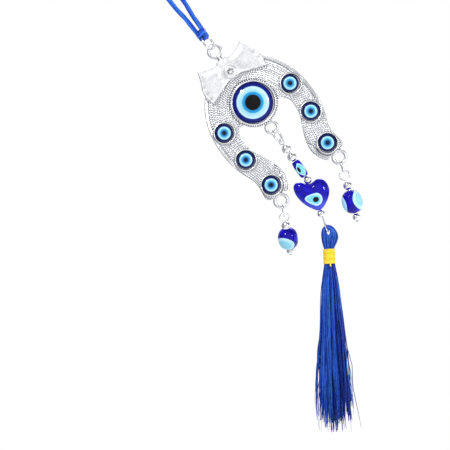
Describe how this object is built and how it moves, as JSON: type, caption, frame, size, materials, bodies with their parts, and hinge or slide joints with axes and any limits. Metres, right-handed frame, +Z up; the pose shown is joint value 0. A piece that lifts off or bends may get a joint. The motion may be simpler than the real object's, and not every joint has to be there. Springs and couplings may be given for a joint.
{
  "type": "evil eye ornament",
  "caption": "Cast horseshoe wall hanging on a cord loop, with glass eyes and a bow, a bead strand with a glass heart and silk tassel in the middle, and a bead dangle on each side.",
  "frame": {"origin": "the point inside the top of the cord loop that bears on its nail or hook", "axes": "+Z up along the cord, -Y out of the decorated front, +X to the right as seen from the front. The horseshoe hangs plumb and square in this frame; the loose strand, tassel and dangles are stored leaning towards -X, as they lie in the picture, and their joints bring them plumb."},
  "size_m": [0.0885, 0.0221, 0.2076],
  "materials": {
    "silver_casting": "bright silver plating on cast zinc alloy, grey in the low places",
    "silver_wire": "bright plated wire",
    "silver_bead": "polished plated bead",
    "cobalt_glass": "glossy cobalt lampwork glass with a cyan eye",
    "eye_glass": "clear domed cabochon over navy, pale blue, blue and black rings",
    "crystal": "clear faceted stone",
    "satin_cord": "shiny satin cord",
    "blue_silk": "royal blue silk thread with a soft sheen",
    "yellow_thread": "wound yellow thread"
  },
  "bodies": {
    "hanger": {"hanging_cord": "satin_cord", "cord_hitch": "satin_cord"},
    "top_ring": {"top_jump_ring": "silver_wire"},
    "plate": {"horseshoe_plate": "silver_casting", "bow": "silver_casting", "bow_crystal": "crystal", "centre_eye": "eye_glass", "left_upper_eye": "eye_glass", "left_middle_eye": "eye_glass", "left_lower_eye": "eye_glass", "right_upper_eye": "eye_glass", "right_middle_eye": "eye_glass", "right_lower_eye": "eye_glass"},
    "centre_ring": {"centre_jump_ring": "silver_wire"},
    "centre_strand": {"centre_pin": "silver_wire"},
    "upper_silver_bead": {"upper_silver_bead": "silver_bead"},
    "second_silver_bead": {"second_silver_bead": "silver_bead"},
    "barrel_bead": {"barrel_bead": "cobalt_glass"},
    "notch_silver_bead": {"notch_silver_bead": "silver_bead"},
    "heart_bead": {"heart_bead": "cobalt_glass"},
    "foot_silver_bead": {"foot_silver_bead": "silver_bead"},
    "tassel": {"tassel_head": "blue_silk", "tassel_binding": "yellow_thread", "tassel_skirt": "blue_silk"},
    "left_ring": {"left_jump_ring": "silver_wire"},
    "left_strand": {"left_pin": "silver_wire"},
    "left_upper_silver_bead": {"left_upper_silver_bead": "silver_bead"},
    "left_oval_bead": {"left_oval_bead": "cobalt_glass"},
    "left_foot_silver_bead": {"left_foot_silver_bead": "silver_bead"},
    "right_ring": {"right_jump_ring": "silver_wire"},
    "right_strand": {"right_pin": "silver_wire"},
    "right_upper_silver_bead": {"right_upper_silver_bead": "silver_bead"},
    "right_oval_bead": {"right_oval_bead": "cobalt_glass"},
    "right_foot_silver_bead": {"right_foot_silver_bead": "silver_bead"}
  },
  "joints": [
    {"name": "top_ring_swing", "type": "hinge", "parent": "hanger", "child": "top_ring", "pos_m": [0, 0, -0.031], "axis": [-0.848, 0.5299, 0], "range_deg": [-40, 40]},
    {"name": "plate_swing", "type": "hinge", "parent": "top_ring", "child": "plate", "pos_m": [0, 0, -0.036], "axis": [0, -1, 0], "range_deg": [-45, 45]},
    {"name": "centre_ring_swing", "type": "hinge", "parent": "plate", "child": "centre_ring", "pos_m": [0, 0, -0.0777], "axis": [0, -1, 0], "range_deg": [-3, 8]},
    {"name": "centre_strand_swing", "type": "hinge", "parent": "centre_ring", "child": "centre_strand", "pos_m": [-0.00019, 0, -0.08203], "axis": [0.8821, -0.4695, -0.0385], "range_deg": [-70, 70]},
    {"name": "upper_silver_spin", "type": "hinge", "parent": "centre_strand", "child": "upper_silver_bead", "pos_m": [-0.0005, 0, -0.08912], "axis": [-0.0436, 0, -0.999], "continuous": true},
    {"name": "second_silver_spin", "type": "hinge", "parent": "centre_strand", "child": "second_silver_bead", "pos_m": [-0.00069, 0, -0.09344], "axis": [-0.0436, 0, -0.999], "continuous": true},
    {"name": "barrel_spin", "type": "hinge", "parent": "centre_strand", "child": "barrel_bead", "pos_m": [-0.00096, 0, -0.0997], "axis": [-0.0436, 0, -0.999], "continuous": true},
    {"name": "notch_silver_spin", "type": "hinge", "parent": "centre_strand", "child": "notch_silver_bead", "pos_m": [-0.00122, 0, -0.10566], "axis": [-0.1521, 0, -0.9884], "continuous": true},
    {"name": "heart_spin", "type": "hinge", "parent": "centre_strand", "child": "heart_bead", "pos_m": [-0.0028, 0, -0.11157], "axis": [-0.2588, 0, -0.9659], "continuous": true},
    {"name": "foot_silver_spin", "type": "hinge", "parent": "centre_strand", "child": "foot_silver_bead", "pos_m": [-0.00536, 0, -0.12111], "axis": [-0.2588, 0, -0.9659], "continuous": true},
    {"name": "tassel_swing", "type": "hinge", "parent": "centre_strand", "child": "tassel", "pos_m": [-0.00794, 0, -0.12985], "axis": [0, -1, 0], "range_deg": [-32, 75]},
    {"name": "left_ring_swing", "type": "hinge", "parent": "plate", "child": "left_ring", "pos_m": [-0.016, 0, -0.106], "axis": [0, -1, 0], "range_deg": [-45, 30]},
    {"name": "left_strand_swing", "type": "hinge", "parent": "left_ring", "child": "left_strand", "pos_m": [-0.01782, 0, -0.10982], "axis": [0.9026, 0, -0.4305], "range_deg": [-102, 28]},
    {"name": "left_upper_silver_spin", "type": "hinge", "parent": "left_strand", "child": "left_upper_silver_bead", "pos_m": [-0.02121, 0.00616, -0.11693], "axis": [-0.3392, 0.6157, -0.7112], "continuous": true},
    {"name": "left_oval_spin", "type": "hinge", "parent": "left_strand", "child": "left_oval_bead", "pos_m": [-0.02121, 0.00616, -0.11693], "axis": [-0.3392, 0.6157, -0.7112], "continuous": true},
    {"name": "left_foot_silver_spin", "type": "hinge", "parent": "left_strand", "child": "left_foot_silver_bead", "pos_m": [-0.02121, 0.00616, -0.11693], "axis": [-0.3392, 0.6157, -0.7112], "continuous": true},
    {"name": "right_ring_swing", "type": "hinge", "parent": "plate", "child": "right_ring", "pos_m": [0.016, 0, -0.106], "axis": [0, -1, 0], "range_deg": [-8, 70]},
    {"name": "right_strand_swing", "type": "hinge", "parent": "right_ring", "child": "right_strand", "pos_m": [0.01448, 0, -0.10995], "axis": [0.9336, 0, -0.3584], "range_deg": [-70, 70]},
    {"name": "right_upper_silver_spin", "type": "hinge", "parent": "right_strand", "child": "right_upper_silver_bead", "pos_m": [0.0109, 0, -0.11928], "axis": [-0.3584, 0, -0.9336], "continuous": true},
    {"name": "right_oval_spin", "type": "hinge", "parent": "right_strand", "child": "right_oval_bead", "pos_m": [0.0109, 0, -0.11928], "axis": [-0.3584, 0, -0.9336], "continuous": true},
    {"name": "right_foot_silver_spin", "type": "hinge", "parent": "right_strand", "child": "right_foot_silver_bead", "pos_m": [0.0109, 0, -0.11928], "axis": [-0.3584, 0, -0.9336], "continuous": true}
  ]
}
